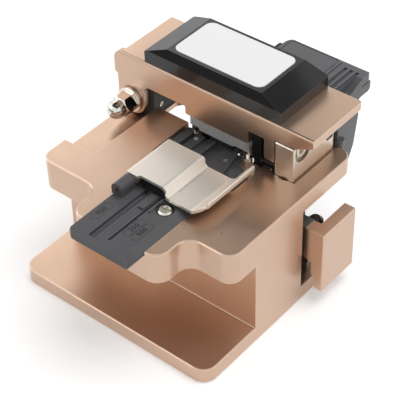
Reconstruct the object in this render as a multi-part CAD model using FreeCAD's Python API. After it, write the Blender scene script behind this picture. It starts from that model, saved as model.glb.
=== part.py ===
import FreeCAD, Part
import math
import os

# Hand-held fibre cleaver: a milled aluminium body with a fibre track, a spring-loaded top arm,
# a blade carriage that slides along X in the channel behind the web, and a scrap bin at the back.
# +X runs along the arm, +Y runs along the fibre towards the bin, +Z is up.
# The shapes are measured from the front left corner of the foot and moved at export, so that the
# origin of the finished model is the middle of the foot's footprint on the table.
V = FreeCAD.Vector

# ---- driving dimensions, mm ----
WIDTH = 63.0            # body across X
DEPTH = 60.7            # body along Y
FOOT_LOW, FOOT_TOP = 0.2, 4.6
WEB_Y0, WEB_Y1 = 19.9, 39.1
DECK_TOP = 35.44
DECK_LOW = 26.27        # underside in front of the web
DECK_LOW_REAR = 30.45   # underside over the carriage channel
DECK_CUT_Y = 44.9       # front edge of the window in the deck
WINDOW_X0, WINDOW_X1, WINDOW_Y1 = 10.0, 51.6, 55.2
STEP_TOP = 31.9         # low step that carries the arm's hinge block
FIBRE_X = 33.2
NIP_Z = 34.2            # height of the fibre over the lower pads
PIVOT_X, PIVOT_Z = 3.8, 36.9
EAR_R = 4.55
ARM_Y0, ARM_Y1 = 42.27, 62.9
ARM_TOP, ARM_PLATE = 50.8, 2.3
FLANGE = 2.0
HOLDER_TOP = 36.5
LID_AXIS_X, LID_AXIS_Z = 27.0, 38.3
BLADE_R, BLADE_X, BLADE_Y = 8.3, 26.5, 48.6
BLADE_Z = NIP_Z - BLADE_R
ORIGIN = V(-WIDTH / 2.0, -30.35, 0.0)

os.makedirs("parts", exist_ok=True)


def save(name, shape):
    moved = shape.copy()
    moved.translate(ORIGIN)
    moved.exportStep("parts/" + name + ".step")
    box = moved.BoundBox
    print("%-20s solids %d  volume %9.1f  z %6.2f..%6.2f" % (
        name, len(moved.Solids), moved.Volume, box.ZMin, box.ZMax))


def block(x0, x1, y0, y1, z0, z1):
    return Part.makeBox(x1 - x0, y1 - y0, z1 - z0, V(x0, y0, z0))


def rod(x, y, z, radius, length, along="z"):
    axis = {"x": V(1, 0, 0), "y": V(0, 1, 0), "z": V(0, 0, 1)}[along]
    return Part.makeCylinder(radius, length, V(x, y, z), axis)


def rounded(points):
    """Closed flat face through (u, v, radius) corners; radius 0 keeps the corner sharp."""
    n = len(points)
    edges = []
    ends = []
    for i in range(n):
        u, v, r = points[i]
        corner = V(u, v, 0)
        if r <= 0:
            ends.append((corner, corner))
            continue
        before = V(points[i - 1][0], points[i - 1][1], 0) - corner
        after = V(points[(i + 1) % n][0], points[(i + 1) % n][1], 0) - corner
        before.normalize()
        after.normalize()
        angle = before.getAngle(after)
        reach = r / math.tan(angle / 2.0)
        start = corner + before * reach
        stop = corner + after * reach
        middle = before + after
        middle.normalize()
        centre = corner + middle * (r / math.sin(angle / 2.0))
        edges.append(Part.Arc(start, centre - middle * r, stop).toShape())
        ends.append((start, stop))
    for i in range(n):
        a = ends[i][1]
        b = ends[(i + 1) % n][0]
        if a.distanceToPoint(b) > 1e-6:
            edges.append(Part.makeLine(a, b))
    return Part.Face(Part.Wire(Part.__sortEdges__(edges)))


def plan(points, z0, z1):
    """Plate with an (x, y, radius) outline between two heights."""
    face = rounded(points)
    face.translate(V(0, 0, z0))
    return face.extrude(V(0, 0, z1 - z0))


def side(points, y0, y1):
    """Plate with an (x, z, radius) outline between two distances along the fibre."""
    face = rounded(points)
    face.rotate(V(0, 0, 0), V(1, 0, 0), 90)
    face.translate(V(0, y0, 0))
    return face.extrude(V(0, y1 - y0, 0))


def end(points, x0, x1):
    """Plate with a (y, z, radius) outline between two distances along the arm."""
    face = rounded(points)
    face.rotate(V(0, 0, 0), V(1, 0, 0), 90)
    face.rotate(V(0, 0, 0), V(0, 0, 1), 90)
    face.translate(V(x0, 0, 0))
    return face.extrude(V(x1 - x0, 0, 0))


def rect(x0, x1, y0, y1, r):
    return [(x0, y0, r), (x1, y0, r), (x1, y1, r), (x0, y1, r)]


def break_edges(shape, size, wanted):
    chosen = [e for e in shape.Edges if wanted(e)]
    try:
        result = shape.makeChamfer(size, chosen)
        if result.isValid() and result.Volume > 0:
            return result
    except Part.OCCError:
        pass
    return shape


def on_height(z):
    return lambda e: abs(e.BoundBox.ZMin - z) < 1e-4 and abs(e.BoundBox.ZMax - z) < 1e-4


def pan_screw(x, y, seat, head_r, head_h, shank_r, shank_l):
    """Domed screw seen from above, seat is the height of the face it clamps."""
    head = rod(x, y, seat, head_r, head_h)
    head = break_edges(head, head_h * 0.35, on_height(seat + head_h))
    shank = rod(x, y, seat - shank_l, shank_r, shank_l)
    slot_a = block(x - head_r * 0.6, x + head_r * 0.6, y - 0.22, y + 0.22, seat + head_h * 0.45, seat + head_h + 1)
    slot_b = block(x - 0.22, x + 0.22, y - head_r * 0.6, y + head_r * 0.6, seat + head_h * 0.45, seat + head_h + 1)
    return head.fuse(shank).cut(slot_a).cut(slot_b)


def coil(x, y, z0, length, coil_r, wire_r, turns):
    """Compression spring: a hexagonal wire section carried round the turns in straight steps."""
    steps = 12
    count = int(turns * steps)
    rings = []
    for i in range(count + 1):
        a = 2 * math.pi * i / steps
        centre = V(x + coil_r * math.cos(a), y + coil_r * math.sin(a), z0 + length * i / count)
        out = V(math.cos(a), math.sin(a), 0)
        rings.append([centre + out * (wire_r * math.cos(k * math.pi / 3)) + V(0, 0, wire_r * math.sin(k * math.pi / 3))
                      for k in range(6)])
    faces = []
    for i in range(count):
        for k in range(6):
            a, b = rings[i][k], rings[i][(k + 1) % 6]
            c, d = rings[i + 1][(k + 1) % 6], rings[i + 1][k]
            faces.append(Part.Face(Part.makePolygon([a, b, c, a])))
            faces.append(Part.Face(Part.makePolygon([a, c, d, a])))
    faces.append(Part.Face(Part.makePolygon(rings[0] + rings[0][:1])))
    faces.append(Part.Face(Part.makePolygon(rings[-1] + rings[-1][:1])))
    solid = Part.Solid(Part.makeShell(faces))
    if solid.Volume < 0:
        solid.reverse()
    return solid


def drill(shape, places, z, radius, depth):
    """Blind or through holes straight down from height z at each (x, y)."""
    for x, y in places:
        shape = shape.cut(rod(x, y, z - depth, radius, depth + 0.01))
    return shape


def group(shapes):
    return Part.makeCompound(shapes)


# ---- body: foot, web and deck milled from one aluminium section ----
foot = plan(rect(0, WIDTH, 0, DEPTH, 4.0), FOOT_LOW, FOOT_TOP)
foot = break_edges(foot, 0.25, on_height(FOOT_TOP))
web = block(0, WIDTH, WEB_Y0, WEB_Y1, FOOT_TOP - 0.3, DECK_TOP - 3.0)
web_root = block(0.3, WIDTH - 0.3, WEB_Y0 - 0.5, WEB_Y0 + 0.1, FOOT_TOP - 0.1, FOOT_TOP + 0.5)
web_root = web_root.cut(rod(-1, WEB_Y0 - 0.5, FOOT_TOP + 0.5, 0.5, 70, "x"))
deck = plan([(20.5, -0.1, 4.0), (49.35, -0.1, 4.3), (49.35, 10.6, 4.0), (63.0, 10.6, 3.6), (63.0, DEPTH, 3.5),
             (0.3, DEPTH, 2.0), (0.3, 10.5, 3.4), (20.5, 10.5, 4.0)], DECK_LOW, DECK_TOP)
deck = break_edges(deck, 0.3, on_height(DECK_TOP))
deck = deck.cut(block(-5, 70, WEB_Y1, 70, DECK_LOW - 1, DECK_LOW_REAR))
body = foot.fuse([web, web_root, deck])
# window through the deck, over the blade and its carriage
window = plan([(WINDOW_X0, DECK_CUT_Y, 0.8), (47.6, DECK_CUT_Y, 0.4), (47.6, 43.2, 0.5), (WINDOW_X1, 43.2, 0.6),
               (WINDOW_X1, WINDOW_Y1, 2.5), (WINDOW_X0, WINDOW_Y1, 2.8)], 20, 40)
body = body.cut(window)
# low step along the left edge, for the hinge block
body = body.cut(plan([(-3, 19.6, 0), (10.55, 19.6, 2.2), (10.55, 70, 0), (-3, 70, 0)], STEP_TOP, 40))
# slot for the fibre holder and the wider, deeper pocket behind it
body = body.cut(block(25.5, 45.0, -2, 31, 34.4, 40))
body = body.cut(block(27.0, 43.5, 12.0, 31, 33.2, 40))
rear_pocket = [(21.3, 29.5, 1.2), (47.9, 29.5, 1.2), (47.9, 43.3, 0), (47.4, 50, 0), (21.3, 50, 0)]
body = body.cut(plan(rear_pocket, 32.2, 40))
# pocket of the rear rest, open at the back where the fibre leaves for the bin
body = body.cut(block(29.8, 37.4, 50, 62, 32.0, 40))
# shallow seat of the stop block with a round run-out of the cutter in front of it
body = body.cut(block(50, 58.3, 41.7, 65, 34.7, 40))
body = body.cut(rod(54.6, 43.6, DECK_TOP - 2.4, 2.45, 4).cut(block(50, 60, 41.75, 50, 30, 40)))
body = drill(body, [(55.2, 16.4)], DECK_TOP, 0.25, 1.5)
# holes for the screws of every part that is bolted on
HOLDER_SCREWS = [(39.8, 13.7), (29.5, 29.4), (42.2, 29.0)]
REST_SCREWS = [(37.3, 40.4), (25.7, 42.6)]
HINGE_SCREWS = [(7.4, 48.8), (7.4, 56.6)]
STOP_SCREWS = [(54.8, 46.6), (54.8, 54.4)]
REAR_REST_SCREWS = [(31.5, 57.4), (35.7, 57.4)]
RAIL_SCREWS = [(10.0, 48.6), (31.5, 48.6), (53.0, 48.6)]
BIN_SCREWS = [42.6, 53.8]
FOOT_PADS = [(8.5, 9.0), (54.5, 9.0), (8.5, 52.0), (54.5, 52.0)]
body = drill(body, HOLDER_SCREWS, 35, 0.82, 5)
body = drill(body, REST_SCREWS, 33, 0.62, 4)
body = drill(body, HINGE_SCREWS, 33, 0.82, 4)
body = drill(body, STOP_SCREWS, 35, 1.3, 8)
body = drill(body, REAR_REST_SCREWS, 33, 0.82, 4)
body = drill(body, RAIL_SCREWS, FOOT_TOP, 1.02, 3)
body = drill(body, FOOT_PADS, 1.6, 4.6, 3)
for x in BIN_SCREWS:
    body = body.cut(rod(x, 57.2, 32.6, 0.85, 8, "y"))
# seat for the guard over the right end of the window
GUARD_SEAT, GUARD_TOP, GUARD_SCREW = 34.5, 35.3, (47.3, 56.9)
body = body.cut(block(43.0, WINDOW_X1, DECK_CUT_Y, 58.4, GUARD_SEAT, 36.0))
body = drill(body, [GUARD_SCREW], GUARD_SEAT, 0.82, 3.2)
save("main_body", body.removeSplitter())

pads = [break_edges(rod(x, y, 0, 4.5, 1.6), 0.2, on_height(0)) for x, y in FOOT_PADS]
save("rubber_feet", group(pads))

# ---- fibre holder: black plate with three tracks and the lid's hinge barrels ----
holder = plan([(25.6, -6.3, 2.0), (44.9, -6.3, 0), (44.9, 30.7, 0.5), (25.6, 30.7, 0.5)], 34.4, HOLDER_TOP)
holder = break_edges(holder, 0.15, on_height(HOLDER_TOP))
# wide bevel on the right, which the conical cutter leaves in a curve towards the front corner
BEVEL_X, BEVEL_Y, BEVEL_SLOPE, CUTTER_R = 42.65, -2.05, 1.2 / 2.25, 4.6
bevel = side([(BEVEL_X - 0.5 / BEVEL_SLOPE, HOLDER_TOP + 0.5, 0), (46.0, HOLDER_TOP - (46.0 - BEVEL_X) * BEVEL_SLOPE, 0),
              (46.0, HOLDER_TOP + 0.5, 0)], BEVEL_Y, 31)
cone = Part.makeCone(CUTTER_R - 2.2 / BEVEL_SLOPE, CUTTER_R + 0.5 / BEVEL_SLOPE, 2.7,
                     V(BEVEL_X + CUTTER_R, BEVEL_Y, HOLDER_TOP - 2.2))
holder = holder.cut(bevel).cut(cone)
holder = holder.fuse(block(27.2, 43.3, 12.2, 30.7, 33.2, 34.5))
# sloped channel for thick coating, two scribed lines and one narrow deep track
TRACK_LEFT, TRACK_RIGHT = 31.3, 36.2
channel = side([(31.0, HOLDER_TOP + 0.1, 0), (31.1, HOLDER_TOP - 0.95, 0), (31.5, HOLDER_TOP - 1.05, 0),
                (33.3, HOLDER_TOP + 0.1, 0)], -4.4, 16.6)
holder = holder.cut(channel)
holder = holder.cut(side([(35.9, HOLDER_TOP + 0.1, 0), (35.95, HOLDER_TOP - 1.1, 0), (36.4, HOLDER_TOP - 1.1, 0),
                          (36.6, HOLDER_TOP + 0.1, 0)], -2.9, 16.6))
for x, y0 in ((33.9, -4.6), (34.95, -2.4)):
    holder = holder.cut(side([(x - 0.2, HOLDER_TOP + 0.05, 0), (x, HOLDER_TOP - 0.2, 0),
                              (x + 0.2, HOLDER_TOP + 0.05, 0)], y0, 10.3))
holder = holder.cut(block(29.5, 37.5, 16.4, 29.9, 35.9, 40))
# relief for the edge of the lid as it swings up
holder = holder.cut(block(25.0, 26.2, 15.6, 31.0, 35.9, 40))
for x in (TRACK_LEFT, TRACK_RIGHT):
    holder = holder.cut(block(x - 0.25, x + 0.25, 16.0, 32, 34.15, 40))
# two raised ribs that lead the fibre in under the lid
holder = holder.fuse(block(34.0, 35.75, 10.3, 16.0, HOLDER_TOP - 0.1, HOLDER_TOP + 0.5))
holder = holder.fuse(block(37.0, 37.6, 10.5, 16.0, HOLDER_TOP - 0.1, HOLDER_TOP + 0.35))
for x, y in HOLDER_SCREWS:
    holder = holder.cut(rod(x, y, 30, 1.05, 10))
    holder = holder.cut(rod(x, y, 35.5, 2.5 if y < 20 else 2.1, 5))
# front barrel stands in the open, the second one is hidden under the lid
barrel_front = side([(LID_AXIS_X - 1.8, 35.6, 0), (LID_AXIS_X + 1.8, 35.6, 0), (LID_AXIS_X + 1.8, 40.1, 1.75),
                     (LID_AXIS_X - 1.8, 40.1, 1.75)], 10.5, 15.4)
barrel_front = barrel_front.cut(block(20, 25.6, 5, 20, 30, HOLDER_TOP))
barrel_rear = rod(LID_AXIS_X, 25.4, LID_AXIS_Z, 1.05, 5.2, "y")
barrel_rear = barrel_rear.fuse(block(LID_AXIS_X - 0.7, LID_AXIS_X + 0.7, 25.4, 30.6, 36, LID_AXIS_Z))
holder = holder.fuse([barrel_front, barrel_rear])
holder = holder.cut(rod(LID_AXIS_X, 5, LID_AXIS_Z, 0.6, 30, "y"))
save("fibre_holder", holder.removeSplitter())

screws = [pan_screw(x, y, 35.5, 1.9, 1.15, 0.8, 5.2) for x, y in HOLDER_SCREWS[:1]]
screws += [pan_screw(x, y, 35.5, 1.7, 0.95, 0.8, 5.2) for x, y in HOLDER_SCREWS[1:]]
save("holder_screws", group(screws))

save("lid_hinge_pin", rod(LID_AXIS_X, 11.0, LID_AXIS_Z, 0.57, 19.6, "y"))

# ---- front rest in the pocket and its rubber pad ----
rest = plan([(21.6, 31.5, 1.0), (45.8, 31.5, 1.0), (45.8, 39.2, 1.9), (40.9, 41.8, 1.5), (39.6, 44.6, 0.5),
             (21.6, 44.6, 0.8)], 32.2, 32.9)
rest = rest.fuse(block(28.6, 37.4, 44.0, 46.6, 32.2, 33.5))
rest = rest.fuse(plan([(34.2, 31.7, 0.3), (40.8, 31.7, 0.3), (39.8, 37.6, 0.5), (38.3, 44.4, 0.4), (34.2, 44.4, 0.2)],
                      32.7, 33.5))
rest = rest.fuse(plan([(24.6, 38.4, 0.3), (27.4, 38.4, 0.3), (27.4, 44.5, 0.2), (24.6, 44.5, 0.3)], 32.7, 33.5))
rest = rest.fuse(block(30.4, 31.2, 34.0, 44.1, 32.7, 34.0))
rest = rest.fuse(plan(rect(21.6, 24.1, 36.8, 44.5, 0.9), 32.7, 34.4))
rest = rest.fuse(rod(42.9, 37.3, 32.2, 1.9, 1.8))
for x, y in REST_SCREWS:
    rest = rest.cut(rod(x, y, 30, 0.65, 10))
save("front_rest", rest.removeSplitter())
save("rest_screws", group([rod(x, y, 29.6, 0.6, 3.85).cut(block(x - 0.4, x + 0.4, y - 0.1, y + 0.1, 33.2, 34))
                           for x, y in REST_SCREWS]))
save("front_pad", block(28.8, 36.2, 44.3, 46.3, 33.5, NIP_Z - 0.07))

# ---- rear rest: small bracket in its pocket, reaching forward to just behind the blade ----
rear = plan([(30.0, 51.0, 0.4), (37.2, 51.0, 0.4), (37.2, 59.2, 0.8), (30.0, 59.2, 0.8)], 32.0, 33.3)
for x, y in REAR_REST_SCREWS:
    rear = rear.cut(rod(x, y, 31, 0.85, 4)).cut(rod(x, y, 32.75, 1.5, 2))
save("rear_rest", rear)
save("rear_pad", block(30.3, 36.9, 51.2, 54.2, 33.3, NIP_Z - 0.07))
save("rear_rest_screws", group([rod(x, y, 32.75, 1.4, 0.6).fuse(rod(x, y, 30.5, 0.8, 2.3))
                                .cut(block(x - 0.9, x + 0.9, y - 0.15, y + 0.15, 33.05, 34))
                                for x, y in REAR_REST_SCREWS]))

# ---- hinge of the arm: block, shaft, washer and domed nut ----
hinge = side([(0.5, STEP_TOP, 0), (9.75, STEP_TOP, 0), (9.75, 41.3, 0.8), (-0.3, 41.3, 4.0), (-0.3, 34.5, 0.8)],
             44.6, 60.4)
hinge = hinge.cut(rod(PIVOT_X, 40, PIVOT_Z, 1.5, 25, "y"))
for x, y in HINGE_SCREWS:
    hinge = hinge.cut(rod(x, y, 30, 0.85, 10)).cut(rod(x, y, 35.6, 1.6, 8))
hinge = hinge.cut(rod(8.6, 47.6, 34.4, 0.78, 3, "x"))
save("hinge_block", hinge)
grub = rod(8.6, 47.6, 34.4, 0.76, 1.0, "x").cut(rod(9.2, 47.6, 34.4, 0.35, 1, "x"))
save("hinge_screws", group([pan_screw(x, y, 35.6, 1.5, 1.1, 0.8, 5.0) for x, y in HINGE_SCREWS] + [grub]))
shaft = rod(PIVOT_X, 36.2, PIVOT_Z, 1.5, 27.2, "y").fuse(rod(PIVOT_X, 63.2, PIVOT_Z, 2.6, 1.6, "y"))
save("pivot_shaft", shaft)
washer = rod(PIVOT_X, 41.35, PIVOT_Z, 3.65, 0.75, "y").cut(rod(PIVOT_X, 41, PIVOT_Z, 1.5, 2, "y"))
save("pivot_washer", washer)
hexagon = Part.Face(Part.makePolygon([
    V(PIVOT_X + 3.175 * math.cos(math.radians(a)), 36.9, PIVOT_Z + 3.175 * math.sin(math.radians(a)))
    for a in range(0, 361, 60)])).extrude(V(0, 4.4, 0))
cone = Part.makeCone(2.3, 6.7, 4.4, V(PIVOT_X, 36.9, PIVOT_Z), V(0, 1, 0))
dome = Part.makeSphere(2.6, V(PIVOT_X, 36.0, PIVOT_Z)).fuse(rod(PIVOT_X, 36.0, PIVOT_Z, 2.6, 1.4, "y"))
nut = hexagon.common(cone).fuse(dome)
nut = nut.cut(rod(PIVOT_X, 35.9, PIVOT_Z, 1.5, 8, "y"))
save("acorn_nut", nut.removeSplitter())

# ---- plated block that the free end of the arm comes down on ----
stop = plan([(51.8, 41.85, 0.4), (57.75, 41.85, 0.4), (57.75, 60.65, 2.4), (51.8, 60.65, 0.4)], 34.7, 45.7)
stop = break_edges(stop, 0.25, on_height(45.7))
stop = stop.cut(rod(56.2, 45.6, 43.6, 3.2, 3, "x"))
stop = stop.cut(rod(53.0, 45.6, 43.6, 1.26, 5, "x"))
stop = stop.cut(end([(55.6, 39.9, 0.8), (58.8, 39.9, 0.8), (58.8, 41.7, 0.8), (55.6, 41.7, 0.8)], 55.6, 58))
stop = drill(stop, [(54.8, 52.6)], 45.7, 2.5, 2.2)
for x, y in STOP_SCREWS:
    stop = stop.cut(rod(x, y, 34, 1.3, 6))
save("stop_block", stop.removeSplitter())
stop_head = rod(56.2, 45.6, 43.6, 2.1, 1.2, "x").cut(rod(56.8, 45.6, 43.6, 1.15, 1.2, "x"))
save("stop_screw", stop_head.fuse(rod(53.0, 45.6, 43.6, 1.25, 3.3, "x")))
save("stop_magnet", rod(54.8, 52.6, 43.5, 2.5, 2.15))
studs = [rod(x, y, 29.4, 1.28, 10) for x, y in STOP_SCREWS]
save("stop_studs", group(studs))

# ---- guard: thin plate over the right end of the window, above the blade's path ----
guard = plan(rect(43.2, 51.4, 45.1, 58.2, 0.6), GUARD_SEAT, GUARD_TOP)
save("window_guard", guard.cut(rod(GUARD_SCREW[0], GUARD_SCREW[1], 34, 0.9, 2)))
save("guard_screw", pan_screw(GUARD_SCREW[0], GUARD_SCREW[1], GUARD_TOP, 1.4, 0.55, 0.8, 3.8))

# ---- arm: bent plate with a deep front flange ----
arm_plate = plan([(1.0, ARM_Y0 + 0.5, 0), (63.1, ARM_Y0 + 0.5, 0.4), (63.1, ARM_Y1, 0.6), (1.0, ARM_Y1, 0.6)],
                 ARM_TOP - ARM_PLATE, ARM_TOP)
flange_outline = [
    (-1.7, ARM_TOP, 2.8), (-1.7, 43.7, 0.3), (-0.75, 43.2, 0.4), (PIVOT_X - EAR_R, PIVOT_Z - EAR_R, 4.5),
    (PIVOT_X + EAR_R, PIVOT_Z - EAR_R, 4.5), (PIVOT_X + EAR_R, 42.9, 2.0), (22.6, 42.9, 0.5), (22.6, 40.5, 0.4),
    (43.2, 40.5, 0.4), (43.2, 44.7, 0.4), (48.2, 44.7, 0.4), (48.2, 38.6, 0.4), (51.4, 38.6, 0.4),
    (51.4, 45.9, 0.5), (57.5, 45.9, 0.6), (63.1, 48.5, 0.6), (63.1, ARM_TOP, 0.4),
]
flange = side(flange_outline, ARM_Y0, ARM_Y0 + FLANGE)
rear_ear = side([
    (1.0, ARM_TOP - 0.3, 0.5), (PIVOT_X - EAR_R, 44.0, 2.0), (PIVOT_X - EAR_R, PIVOT_Z - EAR_R, 4.5),
    (PIVOT_X + EAR_R, PIVOT_Z - EAR_R, 4.5), (PIVOT_X + EAR_R, 43.0, 2.0), (13.0, 48.6, 1.0),
    (13.0, ARM_TOP - 0.3, 0.5)], ARM_Y1 - FLANGE, ARM_Y1)
arm = flange.fuse([arm_plate, rear_ear])
arm = arm.cut(rod(PIVOT_X, 40, PIVOT_Z, 1.53, 25, "y"))
arm = arm.removeSplitter()
# the long top edge in front is rounded over
EDGE_R = 0.7
rounding = block(-5, 70, ARM_Y0 - 1, ARM_Y0 + EDGE_R, ARM_TOP - EDGE_R, ARM_TOP + 1)
rounding = rounding.cut(rod(-6, ARM_Y0 + EDGE_R, ARM_TOP - EDGE_R, EDGE_R, 80, "x"))
arm = arm.cut(rounding)
COVER_SCREWS = [(12.5, 52.6), (49.2, 52.6)]
GUIDES = [(23.3, 46.1), (40.2, 46.5)]
for x, y in COVER_SCREWS:
    arm = arm.cut(rod(x, y, 48, 1.1, 4))
for x, y in GUIDES:
    arm = arm.cut(rod(x, y, 48, 1.0, 4))
save("arm", arm)

# ---- hollow cover on the arm with a blank label plate ----
def cover_shape(inset, r):
    i = inset
    lengthwise = side([(8.9 + i, ARM_TOP - i, 0), (52.85 - i, ARM_TOP - i, 0), (52.85 - i, 54.2 - i * 0.5, r),
                       (46.4 - i * 0.4, 57.1 - i, r), (15.9 + i * 0.4, 57.1 - i, r),
                       (8.9 + i, 54.2 - i * 0.5, r)], 40, 65)
    across = end([(42.7 + i, ARM_TOP - i, 0), (62.6 - i, ARM_TOP - i, 0), (62.6 - i, 54.6 - i, 0),
                  (61.4 - i, 57.1 - i, 0), (43.6 + i, 57.1 - i, 0), (42.7 + i, 54.6 - i, 0)], 5, 60)
    return lengthwise.common(across)


cover = cover_shape(0, 0.25).cut(cover_shape(1.4, 0))
posts = [rod(x, y, ARM_TOP, 2.6, 3.7) for x, y in COVER_SCREWS]
cover = cover.fuse(posts)
for x, y in COVER_SCREWS:
    cover = cover.cut(rod(x, y, ARM_TOP - 1, 0.85, 3.2))
cover = cover.cut(plan(rect(16.6, 45.4, 44.5, 60.6, 2.4), 56.95, 60))
save("top_cover", cover.removeSplitter())
save("label_plate", plan(rect(16.8, 45.2, 44.7, 60.4, 2.2), 56.95, 57.2))
turned = [pan_screw(x, -y, -(ARM_TOP - ARM_PLATE), 1.8, 1.2, 0.83, 4.4) for x, y in COVER_SCREWS]
for s in turned:
    s.rotate(V(0, 0, 0), V(1, 0, 0), 180)
save("cover_screws", group(turned))

# ---- what hangs under the arm ----
save("arm_keeper", plan(rect(52.3, 57.3, 45.0, 60.0, 0.5), 46.15, ARM_TOP - ARM_PLATE))
save("breaker_anvil", side([(30.4, 48.5, 0), (36.9, 48.5, 0), (36.9, 37.0, 0), (36.4, 35.1, 0.3), (30.9, 35.1, 0.3),
                            (30.4, 37.0, 0)], 48.2, 49.0))
catch = block(43.9, 46.7, 43.0, 48.4, 35.6, 44.3).fuse(block(43.9, 46.7, 44.4, 48.4, 44.2, ARM_TOP - ARM_PLATE))
save("arm_catch", break_edges(catch, 0.4, on_height(35.6)))


def hexagon_nut(x, y, z0, z1, radius):
    corners = [V(x + radius * math.cos(math.radians(a)), y + radius * math.sin(math.radians(a)), z0)
               for a in range(0, 361, 60)]
    return Part.Face(Part.makePolygon(corners)).extrude(V(0, 0, z1 - z0))


# left guide ends in a threaded tail below its nut, the right one in a domed head
(left_x, left_y), (right_x, right_y) = GUIDES
left_guide = rod(left_x, left_y, 31.0, 0.8, 20.2).fuse(hexagon_nut(left_x, left_y, 33.9, 35.1, 1.5))
for k in range(5):
    ring = rod(left_x, left_y, 31.35 + 0.5 * k, 1.2, 0.22).cut(rod(left_x, left_y, 31, 0.6, 5))
    left_guide = left_guide.cut(ring)
right_guide = rod(right_x, right_y, 32.0, 0.8, 19.2).fuse(rod(right_x, right_y, 31.2, 1.6, 1.4))
dome = Part.makeSphere(1.75, V(right_x, right_y, 31.9)).common(rod(right_x, right_y, 30.0, 1.6, 1.3))
right_guide = right_guide.fuse([dome, rod(right_x, right_y, 33.9, 1.1, 1.1)])
save("guide_screws", group([left_guide.removeSplitter(), right_guide.removeSplitter()]))
for name, (x, y) in zip(("clamp_spring_left", "clamp_spring_right"), GUIDES):
    save(name, coil(x, y, 38.65, 9.6, 1.35, 0.24, 6))

# ---- sprung clamp bar: two bars that straddle the blade, joined by a bridge ----
BAR_TOP = 38.2
FRONT_BAR = [(22.0, BAR_TOP, 0), (22.0, 35.35, 0.3), (24.7, 35.35, 0.3), (25.0, 34.6, 0.2), (36.2, 34.6, 0.2),
             (36.5, 35.1, 0.3), (41.4, 35.1, 0.3), (41.4, BAR_TOP, 0)]
bar = side(FRONT_BAR, 44.8, 47.4)
chamfer = end([(44.5, BAR_TOP - 0.55, 0), (45.05, BAR_TOP + 0.1, 0), (44.5, BAR_TOP + 0.1, 0)], 20, 44)
bar = bar.cut(chamfer)
bar = bar.cut(block(40.75, 41.0, 44.5, 45.1, 35.9, 37.6))
bar = bar.fuse(side(FRONT_BAR, 50.2, 52.6))
bar = bar.fuse(block(24.6, 41.2, 45.3, 52.3, 37.4, 39.2).cut(block(30.0, 37.3, 47.0, 50.3, 35, 42)))
for x, y in GUIDES:
    bar = bar.cut(rod(x, y, 34, 0.85, 8))
    bar = bar.cut(rod(x, y, 38.4, 1.8, 3))
save("clamp_bar", bar.removeSplitter())
save("clamp_tab", side([(41.4, 34.6, 0), (42.2, 34.6, 0.8), (43.5, 37.2, 1.5), (43.5, 40.2, 0.2), (42.9, 40.2, 0.2),
                        (42.9, 37.7, 1.2), (42.2, 36.4, 0.5), (41.4, 36.4, 0)], 45.2, 46.9))
save("clamp_pads", group([block(27.4, 36.0, 45.0, 47.1, NIP_Z + 0.07, 34.6),
                          block(30.6, 36.0, 51.3, 52.4, NIP_Z + 0.07, 34.6)]))

# ---- holder lid: pressed sheet with a knuckle, a step and a curled finger lip ----
sheet = [(25.15, 39.2, 0), (25.15, 40.3, 1.1), (37.2, 40.3, 1.3), (38.9, 38.2, 1.0), (46.4, 38.2, 0.9), (48.9, 39.4, 0.3),
         (49.2, 38.7, 0.3), (46.6, 37.4, 1.4), (38.3, 37.4, 1.2), (36.6, 39.5, 0.9), (25.95, 39.5, 0.1), (25.95, 39.2, 0)]
lid = side(sheet, 15.7, 31.8)
front_cut = plan([(29.4, 10, 0), (38.2, 10, 0), (38.2, 16.5, 0.6), (29.4, 16.5, 0.5)], 30, 50)
lid = lid.cut(front_cut)
lid = lid.cut(plan([(37.8, 31.25, 0.5), (60, 31.25, 0), (60, 40, 0), (37.8, 40, 0)], 30, 50))
lid = lid.common(plan([(25.0, 15.7, 1.4), (60, 15.7, 0), (60, 31.25, 0), (38.6, 31.25, 0.4), (38.4, 31.8, 0.6),
                       (25.0, 31.8, 1.0)], 30, 50))
corner = plan([(45.6, 10, 0), (60, 10, 0), (60, 18.6, 0), (49.6, 18.6, 0), (48.4, 16.6, 0.8), (45.6, 15.2, 0)], 30, 50)
lid = lid.cut(corner)
lip = side([(47.0, 37.8, 0), (47.6, 37.45, 0.2), (49.4, 38.4, 0.4), (49.4, 39.9, 0.4), (48.7, 39.9, 0.3),
            (48.5, 38.9, 0.3)], 18.6, 36.9)
lid = lid.fuse(lip)
lid = lid.fuse(rod(LID_AXIS_X, 16.6, LID_AXIS_Z, 1.75, 8.5, "y"))
lid = lid.cut(rod(LID_AXIS_X, 10, LID_AXIS_Z, 0.6, 30, "y"))
lid = lid.cut(block(20, 29, 10, 16.45, 30, 39.0))
save("clamp_lid", lid.removeSplitter())
press = block(29.8, 37.2, 16.9, 29.5, 37.6, 39.5).cut(block(36.0, 38, 16, 31, 38.4, 40))
press = press.cut(block(29, 38, 22.9, 23.5, 37.0, 38.2))
save("lid_press_block", break_edges(press, 0.3, on_height(37.6)))
save("lid_pads", group([block(30.2, 36.9, 17.4, 22.5, 36.05, 37.6), block(30.2, 36.9, 23.9, 27.3, 36.05, 37.6)]))

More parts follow.
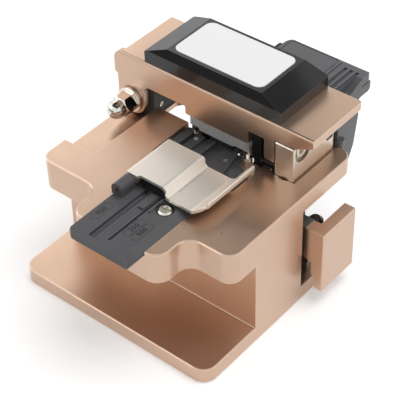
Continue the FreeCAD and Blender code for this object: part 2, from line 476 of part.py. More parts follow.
# ---- blade carriage on a linear guide in the channel behind the web ----
rail = end([(45.1, FOOT_TOP, 0), (52.1, FOOT_TOP, 0), (52.1, 7.0, 0), (51.5, 7.5, 0), (51.5, 8.1, 0),
            (52.1, 8.6, 0), (52.1, 9.6, 0.2), (45.1, 9.6, 0.2), (45.1, 8.6, 0), (45.7, 8.1, 0),
            (45.7, 7.5, 0), (45.1, 7.0, 0)], 4.0, 60.5)
for x, y in RAIL_SCREWS:
    rail = rail.cut(rod(x, y, 4, 1.1, 8)).cut(rod(x, y, 6.9, 2.0, 5))
save("guide_rail", rail)
save("rail_screws", group([rod(x, y, 6.9, 1.9, 1.5).fuse(rod(x, y, 2.0, 1.0, 5)).cut(rod(x, y, 7.6, 0.9, 2))
                           for x, y in RAIL_SCREWS]))
truck = end([(40.6, 6.0, 0.4), (44.9, 6.0, 0), (44.9, 9.75, 0), (52.3, 9.75, 0), (52.3, 6.0, 0), (56.6, 6.0, 0.4),
             (56.6, 12.6, 0.4), (40.6, 12.6, 0.4)], 18.0, 40.5)
cradle = plan(rect(18.5, 40.0, 41.0, 55.2, 1.0), 12.6, 15.2)
wall = side([(18.5, 12.6, 0), (58.0, 12.6, 1.0), (58.0, 24.3, 1.0), (34.5, 24.3, 3.0), (33.5, 29.8, 3.0),
             (20.2, 29.8, 3.0), (18.5, 22.0, 4.0)], 44.4, 47.2)
cradle = cradle.fuse(wall)
cradle = cradle.fuse(rod(BLADE_X, 47.0, BLADE_Z, 2.6, 1.0, "y"))
cradle = cradle.cut(rod(BLADE_X, 40, BLADE_Z, 1.25, 15, "y"))
TRUCK_SCREWS = [(23.0, 51.6), (35.5, 51.6)]
for x, y in TRUCK_SCREWS:
    cradle = cradle.cut(rod(x, y, 12, 1.1, 4))
    truck = truck.cut(rod(x, y, 10.5, 1.0, 4))
# black leg out to the push block, with a flange and a shelf
LEG_END = 62.8
leg = side([(48.5, 14.1, 0.8), (LEG_END, 14.1, 0), (LEG_END, 24.1, 0.3), (48.5, 24.1, 0.8)], 40.8, 44.6)
flange_plate = block(63.8, 65.1, 44.4, 52.8, 9.6, 19.6)
shelf = block(58.4, 64.0, 44.4, 49.4, 14.1, 17.0)
cradle = cradle.fuse([leg, flange_plate, shelf])
# rear wall that keeps fibre ends off the rail
rear_wall = side([(38.0, 15.0, 0), (40.0, 15.0, 0), (40.0, 18.0, 0.8), (46.5, 18.0, 0.6), (46.5, 28.4, 0.6),
                  (33.0, 28.4, 0.6), (33.0, 18.0, 0.6), (38.0, 18.0, 0.8)], 51.6, 52.7)
cradle = cradle.fuse(rear_wall)
PUSH_SCREWS = [(47.5, 11.8), (51.1, 17.4)]
for y, z in PUSH_SCREWS:
    cradle = cradle.cut(rod(62, y, z, 0.88, 5, "x"))
KNOB = (61.3, 47.1)
cradle = cradle.cut(rod(KNOB[0], KNOB[1], 13, 1.0, 5))
save("blade_carriage", cradle.removeSplitter())
save("carriage_screws", group([pan_screw(x, y, 15.2, 1.8, 1.2, 1.0, 3.4) for x, y in TRUCK_SCREWS]))
save("guide_truck", truck)

push = plan([(65.1, 40.5, 0), (68.6, 40.5, 0.3), (68.6, 54.6, 0.3), (65.1, 54.6, 0)], 5.0, 24.3)
push = push.fuse(side([(LEG_END, 14.1, 0), (66.1, 14.1, 2.8), (66.1, 9.3, 0), (67.0, 9.3, 0), (67.0, 24.3, 0),
                       (LEG_END, 24.3, 0)], 40.5, 44.3)).removeSplitter()
push = break_edges(push, 0.2, on_height(24.3))
push = push.cut(block(65.0, 66.1, 40.0, 56, 4, 9.3))
for y, z in PUSH_SCREWS:
    push = push.cut(rod(64, y, z, 0.85, 3.6, "x"))
save("push_block", push.removeSplitter())
push_heads = []
for y, z in PUSH_SCREWS:
    head_part = rod(62.7, y, z, 1.5, 1.1, "x").fuse(rod(63.5, y, z, 0.83, 3.9, "x"))
    push_heads.append(head_part.cut(rod(62.5, y, z, 0.8, 0.7, "x")))
save("push_screws", group(push_heads))
knob = rod(KNOB[0], KNOB[1], 17.0, 2.15, 5.4).fuse(rod(KNOB[0], KNOB[1], 14.2, 0.97, 3))
save("push_cap", break_edges(knob, 0.9, on_height(22.4)))

wheel = rod(BLADE_X, BLADE_Y - 0.5, BLADE_Z, BLADE_R, 1.0, "y")
wheel = wheel.cut(rod(BLADE_X, 40, BLADE_Z, 1.28, 15, "y"))
bevel = Part.makeCone(BLADE_R + 0.3, BLADE_R - 1.2, 1.5, V(BLADE_X, BLADE_Y - 1.0 + 0.5, BLADE_Z), V(0, 1, 0))
bevel_other = Part.makeCone(BLADE_R - 1.2, BLADE_R + 0.3, 1.5, V(BLADE_X, BLADE_Y - 1.0, BLADE_Z), V(0, 1, 0))
wheel = wheel.common(bevel).common(bevel_other)
save("cutting_wheel", wheel)
axle = rod(BLADE_X, 45.0, BLADE_Z, 1.22, 4.2, "y").fuse(rod(BLADE_X, 49.15, BLADE_Z, 2.3, 0.95, "y"))
axle = axle.cut(block(BLADE_X - 1.6, BLADE_X + 1.6, 49.7, 51, BLADE_Z - 0.25, BLADE_Z + 0.25))
save("wheel_screw", axle)

# ---- scrap bin behind the deck, with two pull-in rollers at the height of the fibre ----
BIN_X0, BIN_X1 = 29.3, 57.5
LID_X0 = 32.0
BIN_SPLIT = 47.6        # height where the lid parts from the bin
BIN_REAR = 75.2
BIN_HINGE = (76.3, 47.65)
bin_profile = [(61.2, BIN_SPLIT, 0), (61.2, 25.5, 1.0), (66.2, 25.5, 1.4), (68.8, 30.7, 3.0), (70.3, 39.0, 4.0),
               (70.3, 44.8, 0.4), (BIN_REAR, 44.8, 1.2), (BIN_REAR, BIN_SPLIT, 0)]
bin_cavity = [(62.3, 43.6, 0), (62.3, 26.8, 0.8), (65.6, 26.8, 0.8), (67.5, 30.9, 3.0), (69.0, 39.1, 4.0), (69.0, 43.6, 0)]
mouth = [(62.3, 43.5, 0), (69.0, 43.5, 0), (69.0, 46.0, 0.4), (74.0, 46.0, 0.6), (74.0, 50, 0), (62.3, 50, 0)]
bin_body = end(bin_profile, BIN_X0, BIN_X1)
bin_body = bin_body.cut(block(BIN_X0 - 1, LID_X0, 60, 80, 44.8, 50))
bin_body = bin_body.cut(end(bin_cavity, BIN_X0 + 1.2, BIN_X1 - 1.2))
bin_body = bin_body.cut(end(mouth, LID_X0 + 1.2, BIN_X1 - 1.2))
bin_body = bin_body.fuse(plan(rect(40.2, 57.4, DEPTH + 0.01, 62.0, 0), 30.5, 35.4))
bin_body = bin_body.fuse(rod(57.2, 62.3, 33.0, 1.45, 3.3))
divider = end([(61.8, 26.3, 0), (65.9, 26.3, 0), (67.9, 30.9, 0), (69.4, 39.2, 0), (69.4, 41.5, 0), (61.8, 41.5, 0)],
              38.6, 39.8)
bin_body = bin_body.fuse(divider)
bin_body = bin_body.cut(end([(60.5, 33.4, 0), (62.8, 33.4, 0), (62.8, 35.0, 0), (60.5, 35.0, 0)], 30.6, 37.4))
ROLLER_R = 2.0
ROLLERS = {"drive_roller": (64.9, NIP_Z - ROLLER_R - 0.06), "pinch_roller": (64.9, NIP_Z + ROLLER_R + 0.06)}
for y, z in ROLLERS.values():
    bin_body = bin_body.cut(rod(BIN_X0 - 1, y, z, 0.83, 12, "x"))
for x in BIN_SCREWS:
    bin_body = bin_body.cut(rod(x, 60, 32.6, 0.95, 3, "y"))
for x in (34.0, 51.0):
    knuckle = rod(x, BIN_HINGE[0], BIN_HINGE[1], 1.0, 3.4, "x")
    neck = block(x, x + 3.4, 74.2, BIN_HINGE[0], 46.65, BIN_SPLIT)
    bin_body = bin_body.fuse(neck).fuse(knuckle)
bin_body = bin_body.cut(rod(30, BIN_HINGE[0], BIN_HINGE[1], 0.5, 30, "x"))
save("scrap_bin", bin_body.removeSplitter())
save("bin_screws", group([rod(x, 62.32, 32.6, 1.6, 1.0, "y").fuse(rod(x, 57.6, 32.6, 0.83, 5.0, "y"))
                          for x in BIN_SCREWS]))
for name, (y, z) in ROLLERS.items():
    roller = rod(31.2, y, z, ROLLER_R, 6.6, "x").fuse(rod(BIN_X0 - 0.3, y, z, 0.8, 10.8, "x"))
    save(name, roller)

LID_Y0, LID_LOW, LID_TOP = 63.3, BIN_SPLIT + 0.05, 50.45
bin_lid = end([(LID_Y0, LID_LOW, 0), (BIN_REAR, LID_LOW, 0), (BIN_REAR, LID_TOP, 0.9), (LID_Y0, LID_TOP, 0.3)],
              LID_X0, BIN_X1)
bin_lid = bin_lid.common(plan([(LID_X0, LID_Y0, 0.5), (BIN_X1, LID_Y0, 0.5), (BIN_X1, BIN_REAR, 1.2),
                               (LID_X0, BIN_REAR, 3.0)], 40, 55))
bin_lid = bin_lid.cut(block(33.2, 54.0, 64.5, 73.8, 46, 49.0))
# scooped thumb ramp at the right end, and the grooves that lead down to it
ramp = end([(60, 48.35, 0), (66.6, 48.35, 2.6), (71.2, LID_TOP + 0.02, 2.0), (73.5, LID_TOP + 0.1, 0), (73.5, 53, 0), (60, 53, 0)],
           55.6, 59)
bin_lid = bin_lid.cut(ramp)
for x in (51.3, 53.1, 54.9):
    bin_lid = bin_lid.cut(side([(x - 0.2, LID_TOP + 0.1, 0), (x - 0.2, LID_TOP - 0.45, 0), (x + 0.15, LID_TOP - 0.45, 0),
                                (x + 1.0, LID_TOP + 0.1, 0)], 60, 72.6))
bin_lid = bin_lid.cut(block(49.25, 49.6, 60, 73.6, LID_TOP - 0.35, 53))
# thin panel line round the flat of the lid
panel = plan(rect(33.0, 48.4, 60.0, 74.2, 0.9), LID_TOP - 0.2, 53)
bin_lid = bin_lid.cut(panel.cut(plan(rect(33.25, 48.15, 59.0, 73.95, 0.7), 49, 54)))
# parting slot on the right face
bin_lid = bin_lid.cut(block(57.0, 59, 71.3, 76, 46, LID_LOW + 0.3))
hinge_knuckle = rod(37.7, BIN_HINGE[0], BIN_HINGE[1], 1.0, 13.0, "x")
hinge_knuckle = hinge_knuckle.fuse(block(37.7, 50.7, 74.3, BIN_HINGE[0], LID_LOW, BIN_HINGE[1] + 0.99))
bin_lid = bin_lid.fuse(hinge_knuckle)
bin_lid = bin_lid.cut(rod(30, BIN_HINGE[0], BIN_HINGE[1], 0.53, 30, "x"))
save("bin_lid", bin_lid.removeSplitter())
save("bin_hinge_pin", rod(34.0, BIN_HINGE[0], BIN_HINGE[1], 0.5, 20.4, "x"))
latch = plan(rect(30.4, 32.0, 69.2, 72.4, 0.5), LID_LOW, 49.6).cut(block(30, 31.0, 68, 74, 48.6, 49.0))
save("bin_latch", latch)
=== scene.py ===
import math

import bpy
from mathutils import Matrix, Vector


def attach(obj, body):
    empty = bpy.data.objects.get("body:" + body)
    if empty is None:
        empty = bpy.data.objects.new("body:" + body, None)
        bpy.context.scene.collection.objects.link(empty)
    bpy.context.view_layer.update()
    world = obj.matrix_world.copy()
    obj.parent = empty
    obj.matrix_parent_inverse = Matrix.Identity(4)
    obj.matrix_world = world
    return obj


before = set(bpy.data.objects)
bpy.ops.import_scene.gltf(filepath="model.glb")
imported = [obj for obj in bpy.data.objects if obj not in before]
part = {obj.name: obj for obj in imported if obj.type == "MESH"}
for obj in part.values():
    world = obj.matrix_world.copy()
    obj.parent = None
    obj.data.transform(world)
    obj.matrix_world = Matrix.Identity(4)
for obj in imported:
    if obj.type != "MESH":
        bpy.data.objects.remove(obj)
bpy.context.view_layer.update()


# Body: foot, web and deck milled from one aluminium section, bead blasted, then anodised champagne.
# Its corners get a lighter painted highlight, so they come out brighter than the faces.
# It stands on four moulded rubber discs glued into recesses under the foot.
GRAIN_DETAIL, GRAIN_HEIGHT = 2.0, 0.00005
DRIFT_SCALE, DRIFT_DETAIL, GLOSS_DRIFT = 90.0, 3.0, 0.035
DRIFT_LOW, DRIFT_HIGH = 0.3, 0.7
CORNER_SAMPLES = 4
CORNER_STARTS, CORNER_FULL = 0.995, 0.90      # how well the face still agrees with the eased corner


def grained(name, colour, metallic, roughness, grain=7000.0, speckle=0.05, relief=0.12,
            stretch=(1, 1, 1), edge_highlight=None, highlight_width=0.00016, highlight_share=0.7, coat=0.0,
            coat_roughness=0.32, level=0.5):
    """Finish with a fine grain in colour and relief, a broad drift in gloss, and a painted
    highlight on the corners.

    stretch draws the grain out into tool marks; the corner colour given is painted on as a
    highlight.
    """
    finish = bpy.data.materials.new(name)
    finish.use_nodes = True
    nodes, links = finish.node_tree.nodes, finish.node_tree.links
    shader = nodes["Principled BSDF"]
    shader.inputs["Metallic"].default_value = metallic
    shader.inputs["Specular IOR Level"].default_value = level
    shader.inputs["Coat Weight"].default_value = coat
    shader.inputs["Coat Roughness"].default_value = coat_roughness

    place = nodes.new("ShaderNodeTexCoord")
    lay = nodes.new("ShaderNodeMapping")
    lay.inputs["Scale"].default_value = stretch
    links.new(place.outputs["Object"], lay.inputs["Vector"])
    fine = nodes.new("ShaderNodeTexNoise")
    fine.inputs["Scale"].default_value = grain
    fine.inputs["Detail"].default_value = GRAIN_DETAIL
    links.new(lay.outputs["Vector"], fine.inputs["Vector"])
    broad = nodes.new("ShaderNodeTexNoise")
    broad.inputs["Scale"].default_value = DRIFT_SCALE
    broad.inputs["Detail"].default_value = DRIFT_DETAIL
    links.new(place.outputs["Object"], broad.inputs["Vector"])

    tint = nodes.new("ShaderNodeMix")
    tint.data_type = "RGBA"
    tint.inputs["A"].default_value = [c * (1 - speckle) for c in colour] + [1]
    tint.inputs["B"].default_value = [min(1, c * (1 + speckle)) for c in colour] + [1]
    links.new(fine.outputs["Fac"], tint.inputs["Factor"])
    surface = tint.outputs["Result"]
    # Painted highlight: the lighter corner colour is mixed in where the bevelled normal turns from
    # the face's own.
    if edge_highlight:
        eased = nodes.new("ShaderNodeBevel")
        eased.samples = CORNER_SAMPLES
        eased.inputs["Radius"].default_value = highlight_width
        facing = nodes.new("ShaderNodeNewGeometry")
        agree = nodes.new("ShaderNodeVectorMath")
        agree.operation = "DOT_PRODUCT"
        links.new(eased.outputs["Normal"], agree.inputs[0])
        links.new(facing.outputs["Normal"], agree.inputs[1])
        corner = nodes.new("ShaderNodeMapRange")
        corner.inputs["From Min"].default_value = CORNER_STARTS
        corner.inputs["From Max"].default_value = CORNER_FULL
        corner.inputs["To Max"].default_value = highlight_share
        links.new(agree.outputs["Value"], corner.inputs["Value"])
        highlighted = nodes.new("ShaderNodeMix")
        highlighted.data_type = "RGBA"
        highlighted.inputs["B"].default_value = list(edge_highlight) + [1]
        links.new(corner.outputs["Result"], highlighted.inputs["Factor"])
        links.new(surface, highlighted.inputs["A"])
        surface = highlighted.outputs["Result"]
    links.new(surface, shader.inputs["Base Color"])

    gloss = nodes.new("ShaderNodeMapRange")
    gloss.inputs["From Min"].default_value = DRIFT_LOW
    gloss.inputs["From Max"].default_value = DRIFT_HIGH
    gloss.inputs["To Min"].default_value = roughness - GLOSS_DRIFT
    gloss.inputs["To Max"].default_value = roughness + GLOSS_DRIFT
    links.new(broad.outputs["Fac"], gloss.inputs["Value"])
    links.new(gloss.outputs["Result"], shader.inputs["Roughness"])
    bump = nodes.new("ShaderNodeBump")
    bump.inputs["Strength"].default_value = relief
    bump.inputs["Distance"].default_value = GRAIN_HEIGHT
    links.new(fine.outputs["Fac"], bump.inputs["Height"])
    links.new(bump.outputs["Normal"], shader.inputs["Normal"])
    return finish


def dress(material, *names, crease=28):
    """Give CAD pieces their finish, shaded smooth except across real corners."""
    for name in names:
        mesh = part[name].data
        mesh.materials.clear()
        mesh.materials.append(material)
        mesh.polygons.foreach_set("use_smooth", [True] * len(mesh.polygons))
        mesh.set_sharp_from_angle(angle=math.radians(crease))
        mesh.update()


champagne = grained("champagne_anodised", (0.61, 0.418, 0.302), 0.92, 0.34,
                    grain=6500, speckle=0.045, relief=0.14,
                    edge_highlight=(0.99, 0.82, 0.66), highlight_width=0.0002, highlight_share=0.9, coat=0.55)
dress(champagne, "main_body")
rubber = grained("moulded_rubber", (0.02, 0.02, 0.021), 0.0, 0.75, grain=2500, speckle=0.15)
dress(rubber, "rubber_feet")

# Fibre holder: aluminium plate with milled fibre tracks, anodised black, on cross-head screws, with
# the black rests, hinge block and window guard beside it. Its two barrels carry the lid's pin.
# Fibre sizes are engraved beside the tracks and filled black, each number in its own ring.
MM = 0.001
CORNER_X, CORNER_Y = -31.5 * MM, -30.35 * MM      # front left corner of the foot
HOLDER_FACE = 36.5 * MM
FILL = 0.02                                       # all below are in millimetres
RING_SUNK, RING_HALF_LINE, RING_STEPS = -0.02, 0.055, 16
RING_LENGTH, RING_WIDTH, DIGIT_HEIGHT, DIGIT_SPACING = 6.8, 2.4, 1.95, 1.12
SIZE_MARKS = (
    ("left", "900", 27.85, 3.9),
    ("middle", "250", 38.15, 4.2),
    ("right", "900", 40.75, 4.2),
)

# The corners of the black parts carry a lighter painted highlight.
black_anodised = grained("black_anodised", (0.100, 0.100, 0.106), 0.0, 0.46,
                         grain=5200, speckle=0.2, relief=0.3,
                         edge_highlight=(0.24, 0.24, 0.25), highlight_width=0.00014, highlight_share=0.7, level=0.28)
dress(black_anodised, "fibre_holder", "front_rest", "rear_rest", "hinge_block", "window_guard")
dress(rubber, "front_pad", "rear_pad")
screw_steel = grained("screw_steel", (0.70, 0.68, 0.62), 1.0, 0.24,
                      grain=6000, speckle=0.08, relief=0.1)
dress(screw_steel, "holder_screws", "rest_screws", "rear_rest_screws", "lid_hinge_pin",
      "hinge_screws", "guard_screw")
engraving = grained("engraving_black", (0.012, 0.012, 0.013), 0.0, 0.6,
                    grain=4000, speckle=0.15, level=0.3)


def on_holder(x, y, rise):
    return Vector((CORNER_X + x * MM, CORNER_Y + y * MM, HOLDER_FACE + rise * MM))


def engraved_ring(name, centre_x, centre_y):
    """Thin filled groove round a number, drawn out along the fibre."""
    radius = RING_WIDTH / 2
    half = RING_LENGTH / 2 - radius
    around = []
    for start, end in ((0, half), (math.pi, -half)):
        for step in range(RING_STEPS + 1):
            angle = start + math.pi * step / RING_STEPS
            around.append((centre_x + radius * math.cos(angle),
                           centre_y + end + radius * math.sin(angle)))
    groove = bpy.data.curves.new(name, "CURVE")
    groove.dimensions = "3D"
    groove.bevel_depth = RING_HALF_LINE * MM
    groove.bevel_resolution = 1
    line = groove.splines.new("POLY")
    line.points.add(len(around) - 1)
    for point, (x, y) in zip(line.points, around):
        point.co = (*on_holder(x, y, RING_SUNK), 1)
    line.use_cyclic_u = True
    ring = bpy.data.objects.new(name, groove)
    bpy.context.collection.objects.link(ring)
    groove.materials.append(engraving)
    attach(ring, "base")


def engraved_number(name, digits, centre_x, centre_y):
    """Filled digits that are read from the side, across the fibre."""
    word = bpy.data.curves.new(name, "FONT")
    word.body = digits
    word.align_x = "CENTER"
    word.align_y = "CENTER"
    word.size = DIGIT_HEIGHT * MM
    word.space_character = DIGIT_SPACING
    word.extrude = FILL * MM
    word.materials.append(engraving)
    piece = bpy.data.objects.new(name, word)
    bpy.context.collection.objects.link(piece)
    piece.location = on_holder(centre_x, centre_y, FILL)
    piece.rotation_euler = (0, 0, math.radians(90))
    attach(piece, "base")


for side, digits, x, y in SIZE_MARKS:
    engraved_ring("size_ring_" + side, x, y)
    engraved_number("size_number_" + side, digits, x, y)

# Lid of the holder: pressed sheet, satin nickel plate, with a black press block and rubber pads
# under it. A row of short scale strokes is punched along the foot of its step, every fifth longer.
STROKES, STROKE_PITCH = 19, 0.55                  # all in millimetres
STROKE_X, STROKE_Y, STROKE_TOP = 39.35, 19.6, 38.22
LONG_STROKE, SHORT_STROKE, HALF_STROKE, STROKE_DEPTH = 0.62, 0.36, 0.045, 0.06
STROKE_SIDES = ((0, 1, 3, 2), (4, 6, 7, 5), (0, 4, 5, 1), (2, 3, 7, 6), (0, 2, 6, 4), (1, 5, 7, 3))

# The lid's corners carry a lighter painted highlight.
satin_nickel = grained("satin_nickel", (0.88, 0.81, 0.72), 0.68, 0.34,
                       grain=6000, speckle=0.05, relief=0.12,
                       edge_highlight=(0.98, 0.93, 0.84), highlight_width=0.00022, highlight_share=0.6)
dress(satin_nickel, "clamp_lid")
# Its corners carry a lighter painted highlight.
black_plastic = grained("moulded_black_plastic", (0.011, 0.011, 0.0125), 0.0, 0.36,
                        grain=3800, speckle=0.25, relief=0.3,
                        edge_highlight=(0.10, 0.10, 0.105), highlight_width=0.00012, highlight_share=0.5, level=0.35)
dress(black_plastic, "lid_press_block")
dress(rubber, "lid_pads")

stroke_corners, stroke_faces = [], []
for index in range(STROKES):
    middle = STROKE_Y + STROKE_PITCH * index
    reach = LONG_STROKE if index % 5 == 0 else SHORT_STROKE
    first = len(stroke_corners)
    for x in (STROKE_X, STROKE_X + reach):
        for y in (middle - HALF_STROKE, middle + HALF_STROKE):
            for z in (STROKE_TOP - STROKE_DEPTH, STROKE_TOP):
                stroke_corners.append((CORNER_X + x * MM, CORNER_Y + y * MM, z * MM))
    stroke_faces += [[first + corner for corner in face] for face in STROKE_SIDES]
stroke_mesh = bpy.data.meshes.new("lid_scale_strokes")
stroke_mesh.from_pydata(stroke_corners, [], stroke_faces)
# The strokes' dark nickel is painted shade standing for the punched grooves; each stroke is a thin
# slab.
stroke_mesh.materials.append(grained("painted_groove_shade", (0.20, 0.18, 0.155), 0.9, 0.5,
                                     grain=5000, speckle=0.15))
strokes = bpy.data.objects.new("lid_scale_strokes", stroke_mesh)
bpy.context.collection.objects.link(strokes)
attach(strokes, "holder_lid")

# Arm pivot: turned steel shaft with a flat head behind, pushed through the hinge block and the arm.
# A polished nickel washer and a domed nut hold the arm on its front end.
bright_nickel = grained("bright_nickel", (0.74, 0.71, 0.66), 1.0, 0.11,
                        grain=3000, speckle=0.03, relief=0.05)
dress(bright_nickel, "acorn_nut", "pivot_washer", "stop_magnet")
dress(screw_steel, "pivot_shaft")

# Stop block: milled steel, nickel plated over its level tool marks, standing on two studs.
# It has a socket screw in its right face, and the round magnet in its top holds the arm down.
# Its corners carry a lighter painted highlight.
milled_nickel = grained("milled_nickel", (0.72, 0.65, 0.57), 0.9, 0.30,
                        grain=1500, speckle=0.22, relief=0.8, stretch=(0.05, 0.05, 2.2),
                        edge_highlight=(0.95, 0.90, 0.82), highlight_share=0.7)
dress(milled_nickel, "stop_block")
dress(screw_steel, "stop_screw", "stop_studs")

# Guide and carriage: steel rail and truck under the deck, with a black carriage for the blade.
# The hard metal blade turns on its own screw, so that a fresh part of its edge can be brought up.
ground_steel = grained("ground_steel", (0.56, 0.56, 0.55), 1.0, 0.3,
                       grain=1600, speckle=0.1, stretch=(1, 8, 8))
dress(ground_steel, "guide_rail", "guide_truck")
dress(black_anodised, "blade_carriage")
dress(screw_steel, "rail_screws", "carriage_screws", "wheel_screw", "push_screws")
hard_metal = grained("hard_metal", (0.45, 0.46, 0.48), 1.0, 0.2, grain=2000, speckle=0.06)
dress(hard_metal, "cutting_wheel")

# Push block: champagne aluminium plate on the carriage's end, which the thumb presses to send the
# blade across, with a polished black knob behind it.
dress(champagne, "push_block")
polished_black = grained("polished_black", (0.008, 0.008, 0.009), 0.0, 0.12,
                         grain=1500, speckle=0.05, relief=0.02)
dress(polished_black, "push_cap")

# Top arm: thick aluminium plate with a deep front flange, milled and anodised with the body.
# A steel keeper under it meets the stop's magnet, and a black catch sits in the flange's notch.
dress(champagne, "arm")
dress(ground_steel, "arm_keeper", "breaker_anvil")
dress(black_plastic, "arm_catch")

# Cover: hollow black moulding with sloped ends, held by screws that come up through the arm.
# A blank white film label lies in the recess on its top.
# Its corners carry a lighter painted highlight.
cover_plastic = grained("cover_plastic", (0.011, 0.011, 0.0125), 0.0, 0.3,
                        grain=3600, speckle=0.25, relief=0.2,
                        edge_highlight=(0.12, 0.12, 0.125), highlight_width=0.00016, highlight_share=0.6,
                        coat=0.55, coat_roughness=0.08, level=0.15)
dress(cover_plastic, "top_cover", crease=20)
dress(screw_steel, "cover_screws")
film = grained("label_film", (0.97, 0.972, 0.975), 0.0, 0.35,
               grain=1500, speckle=0.012, relief=0.03)
dress(film, "label_plate")

# Sprung clamp: ground steel bar that slides on two guide screws under the arm, each with a coil
# spring. A bent steel tab is fixed to its end, and rubber pads under it press on the fibre.
# Its corners carry a lighter painted highlight.
blank_steel = grained("blank_steel", (0.94, 0.91, 0.87), 0.1, 0.5,
                      grain=1500, speckle=0.35, relief=0.4,
                      edge_highlight=(0.9, 0.88, 0.84), highlight_width=0.00014, highlight_share=0.8)
dress(blank_steel, "clamp_bar")
dress(bright_nickel, "clamp_tab", "guide_screws")
dress(screw_steel, "clamp_spring_left", "clamp_spring_right")
dress(rubber, "clamp_pads")

# Scrap bin: dark grey moulding on two screws at the back, with pinch rollers that draw the cut end
# in. Its lid turns on a steel pin and snaps shut with a small black tab.
# Its corners carry a lighter painted highlight.
grey_plastic = grained("moulded_grey_plastic", (0.105, 0.106, 0.112), 0.0, 0.33,
                       grain=3800, speckle=0.14, relief=0.25,
                       edge_highlight=(0.20, 0.20, 0.21), highlight_width=0.00014, highlight_share=0.6)
dress(grey_plastic, "scrap_bin", "bin_lid")
dress(black_plastic, "bin_latch")
dress(screw_steel, "bin_screws", "bin_hinge_pin")
dress(rubber, "drive_roller", "pinch_roller")

# Studio: white floor and background that metal shows too, soft light from above and from the left,
# and dark flags beside the tool that only its reflections see.
WORLD_LIGHT, WORLD_SHOWN = 0.32, 1.0
FLOOR_SIZE, FLOOR_DROP, FLOOR_GLOW = 6, 0.0001, 0.36
LAMP_AIM = Vector((0, 0, 0.02))

world = bpy.data.worlds.new("studio")
bpy.context.scene.world = world
world.use_nodes = True
world_nodes, world_links = world.node_tree.nodes, world.node_tree.links
lit = world_nodes["Background"]
lit.inputs["Color"].default_value = (1, 1, 1, 1)
lit.inputs["Strength"].default_value = WORLD_LIGHT
shown = world_nodes.new("ShaderNodeBackground")
shown.inputs["Color"].default_value = (1, 1, 1, 1)
shown.inputs["Strength"].default_value = WORLD_SHOWN


def seen_or_reflected(nodes, links):
    """1 for rays from the camera, from gloss and through glass; 0 for soft light."""
    path = nodes.new("ShaderNodeLightPath")
    either = nodes.new("ShaderNodeMath")
    either.operation = "MAXIMUM"
    links.new(path.outputs["Is Camera Ray"], either.inputs[0])
    links.new(path.outputs["Is Glossy Ray"], either.inputs[1])
    any_ray = nodes.new("ShaderNodeMath")
    any_ray.operation = "MAXIMUM"
    links.new(either.outputs[0], any_ray.inputs[0])
    links.new(path.outputs["Is Transmission Ray"], any_ray.inputs[1])
    return any_ray.outputs[0]


mixer = world_nodes.new("ShaderNodeMixShader")
world_links.new(seen_or_reflected(world_nodes, world_links), mixer.inputs["Fac"])
world_links.new(lit.outputs[0], mixer.inputs[1])
world_links.new(shown.outputs[0], mixer.inputs[2])
world_links.new(mixer.outputs[0], world_nodes["World Output"].inputs["Surface"])

bpy.ops.mesh.primitive_plane_add(size=FLOOR_SIZE, location=(0, 0, -FLOOR_DROP))
floor = bpy.context.object
floor.name = "studio_floor"
paper = bpy.data.materials.new("white_paper")
paper.use_nodes = True
paper_nodes, paper_links = paper.node_tree.nodes, paper.node_tree.links
matt = paper_nodes["Principled BSDF"]
matt.inputs["Base Color"].default_value = (0.9, 0.9, 0.9, 1)
matt.inputs["Roughness"].default_value = 0.9
matt.inputs["Emission Color"].default_value = (1, 1, 1, 1)
glow = paper_nodes.new("ShaderNodeMath")
glow.operation = "MULTIPLY"
glow.inputs[1].default_value = FLOOR_GLOW
paper_links.new(seen_or_reflected(paper_nodes, paper_links), glow.inputs[0])
paper_links.new(glow.outputs[0], matt.inputs["Emission Strength"])
floor.data.materials.append(paper)


def soft_box(name, spot, size, power):
    """Square lamp turned towards the tool; size and spot in metres, power in watts."""
    lamp = bpy.data.lights.new(name, "AREA")
    lamp.shape = "RECTANGLE"
    lamp.size = lamp.size_y = size
    lamp.energy = power
    holder = bpy.data.objects.new(name, lamp)
    bpy.context.collection.objects.link(holder)
    holder.location = spot
    holder.rotation_euler = (LAMP_AIM - Vector(spot)).to_track_quat("-Z", "Y").to_euler()


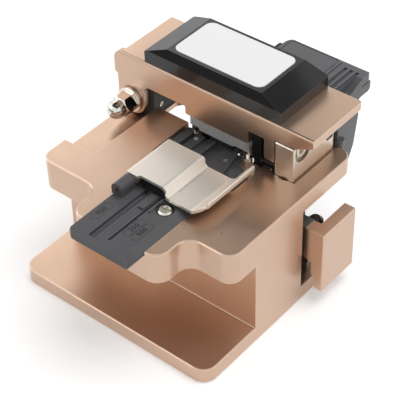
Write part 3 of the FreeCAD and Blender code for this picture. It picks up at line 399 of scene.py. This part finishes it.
def dark_flag(name, spot, aim, size, shade):
    """Dark card that only shows in the tool's gloss."""
    bpy.ops.mesh.primitive_plane_add(size=1, location=spot)
    card = bpy.context.object
    card.name = name
    card.scale = (size[0], size[1], 1)
    card.rotation_euler = (Vector(aim) - Vector(spot)).to_track_quat("Z", "Y").to_euler()
    cloth = bpy.data.materials.new(name + "_cloth")
    cloth.use_nodes = True
    weave = cloth.node_tree.nodes["Principled BSDF"]
    weave.inputs["Base Color"].default_value = (shade, shade, shade, 1)
    weave.inputs["Roughness"].default_value = 1.0
    weave.inputs["Specular IOR Level"].default_value = 0.0
    card.data.materials.append(cloth)
    card.visible_camera = False
    card.visible_diffuse = False
    card.visible_shadow = False
    card.visible_transmission = False


soft_box("overhead", (0.20, 0.16, 0.75), 0.5, 3.1)
soft_box("left_fill", (-0.8, -0.2, 0.35), 0.4, 0.8)
soft_box("left_behind", (-0.46, 0.32, 0.46), 0.34, 0.26)
soft_box("edge_light", (-0.45, -0.60, 0.52), 0.30, 0.38)
dark_flag("flag_above", (0.0, 0.025, 0.2), (0.0, 0.025, 0.0), (0.26, 0.26), 0.06)
dark_flag("flag_front", (-0.16, -0.42, 0.06), (0, 0, 0.03), (0.5, 0.10), 0.10)

# Camera: long lens about 0.36 m from the tool, looking down on it from its front right,
# and turned a little about its own line of sight.
SENSOR, LENS, NEAREST = 36.0, 124.92, 0.01
CAMERA_SPOT = (0.179067, -0.203733, 0.260469)
azimuth, elevation, roll = math.radians(40.45), math.radians(41.14), math.radians(-1.67)

back = Vector((math.sin(azimuth) * math.cos(elevation), -math.cos(azimuth) * math.cos(elevation),
               math.sin(elevation)))
level = Vector((math.cos(azimuth), math.sin(azimuth), 0))
rise = back.cross(level)
right = math.cos(roll) * level + math.sin(roll) * rise
up = -math.sin(roll) * level + math.cos(roll) * rise
lens = bpy.data.cameras.new("camera")
lens.sensor_width = SENSOR
lens.lens = LENS
lens.clip_start = NEAREST
camera = bpy.data.objects.new("camera", lens)
bpy.context.collection.objects.link(camera)
turn = Matrix((right, up, back)).transposed().to_4x4()
camera.matrix_world = Matrix.Translation(CAMERA_SPOT) @ turn
bpy.context.scene.camera = camera
bpy.context.scene.view_settings.view_transform = "Standard"
